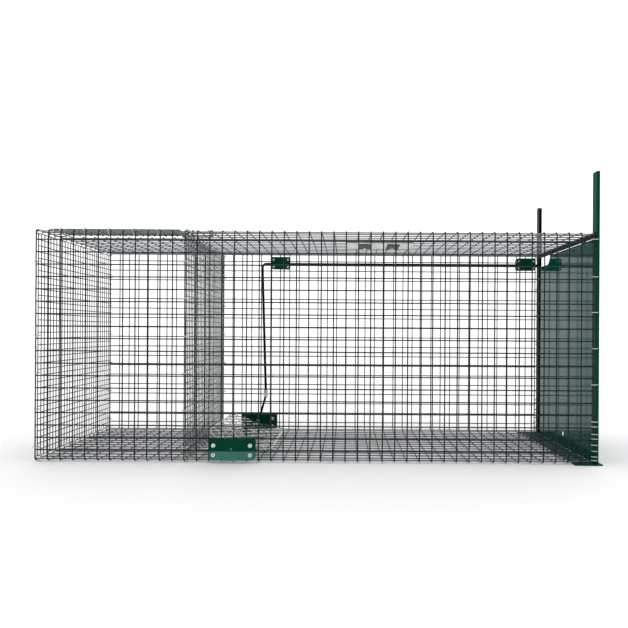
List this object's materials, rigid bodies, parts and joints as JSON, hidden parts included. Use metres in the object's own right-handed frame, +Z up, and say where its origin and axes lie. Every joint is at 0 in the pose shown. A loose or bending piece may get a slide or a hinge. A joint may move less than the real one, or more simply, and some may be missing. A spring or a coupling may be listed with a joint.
{
  "type": "live-catch cage trap",
  "caption": "Long welded-wire live-catch cage with a sheet drop door in tall rails, tilting treadle, trigger rod, bait divider, top hatch and folding handle.",
  "frame": {"origin": "on the ground under the middle of the whole cage", "axes": "+X along the cage towards the door, +Y towards the side with the trigger rod, +Z up"},
  "size_m": [1.1678, 0.389, 0.603],
  "materials": {
    "coated_wire": "satin dark green coating on steel wire",
    "green_paint": "glossy dark green paint",
    "door_paint": "high-gloss green paint",
    "treadle_paint": "satin dark green paint",
    "dark_paint": "satin near-black green paint",
    "bright_rivets": "bright",
    "galvanised_clips": "galvanised",
    "white_rubber": "matt off-white",
    "grip_rubber": "matt black"
  },
  "bodies": {
    "cage": {"front_mesh_panel": "coated_wire", "back_mesh_panel": "coated_wire", "floor_mesh_panel": "coated_wire", "top_mesh_panel": "coated_wire", "end_mesh_panel": "coated_wire", "end_panel_rings": "galvanised_clips", "divider_mesh_panel": "coated_wire", "divider_rings": "galvanised_clips", "door_sill": "green_paint", "front_door_rail": "green_paint", "rear_door_rail": "green_paint", "front_rail_clips": "galvanised_clips", "rear_rail_clips": "galvanised_clips", "door_lintel": "dark_paint", "front_treadle_bracket": "green_paint", "front_bracket_backing": "green_paint", "front_bracket_rivets": "bright_rivets", "rear_treadle_bracket": "green_paint", "rear_bracket_backing": "green_paint", "rear_bracket_rivets": "bright_rivets", "left_rod_guide": "green_paint", "right_rod_guide": "green_paint", "rod_guide_backings": "green_paint", "rod_guide_rivets": "bright_rivets", "handle_guard": "galvanised_clips", "handle_brackets": "dark_paint", "handle_rivets": "bright_rivets", "handle_backing_plates": "dark_paint", "hatch_hinge_rings": "galvanised_clips", "hatch_bolt_bracket": "green_paint"},
    "door": {"drop_door": "door_paint"},
    "treadle": {"treadle_plate": "treadle_paint", "treadle_shaft": "dark_paint", "shaft_collars": "galvanised_clips", "plate_saddles": "green_paint", "treadle_lever": "dark_paint"},
    "trigger": {"trigger_rod": "dark_paint", "link_sleeve": "white_rubber"},
    "handle": {"handle_bail": "dark_paint", "handle_grip": "grip_rubber"},
    "hatch": {"hatch_lid": "coated_wire", "hatch_edge_bar": "dark_paint"},
    "bolt": {"hatch_bolt": "bright_rivets"}
  },
  "joints": [
    {"name": "door_slide", "type": "slide", "parent": "cage", "child": "door", "axis": [0, 0, 1], "range_m": [0, 0.452]},
    {"name": "treadle_tilt", "type": "hinge", "parent": "cage", "child": "treadle", "pos_m": [-0.17511, 0, 0.02952], "axis": [0, 1, 0], "range_deg": [-32, 2]},
    {"name": "trigger_slide", "type": "slide", "parent": "cage", "child": "trigger", "axis": [1, 0, 0], "range_m": [-0.0396, 0.0026]},
    {"name": "handle_fold", "type": "hinge", "parent": "cage", "child": "handle", "pos_m": [0.13409, 0.0245, 0.48302], "axis": [1, 0, 0], "range_deg": [0, 180]},
    {"name": "hatch_hinge", "type": "hinge", "parent": "cage", "child": "hatch", "pos_m": [-0.42472, -0.1651, 0.48139], "axis": [1, 0, 0], "range_deg": [0, 175]},
    {"name": "bolt_slide", "type": "slide", "parent": "cage", "child": "bolt", "axis": [-1, 0, 0], "range_m": [0, 0.014]}
  ],
  "couplings": [
    {"joint": "trigger_slide", "follows": "treadle_tilt", "m_per_rad": 0.07}
  ]
}
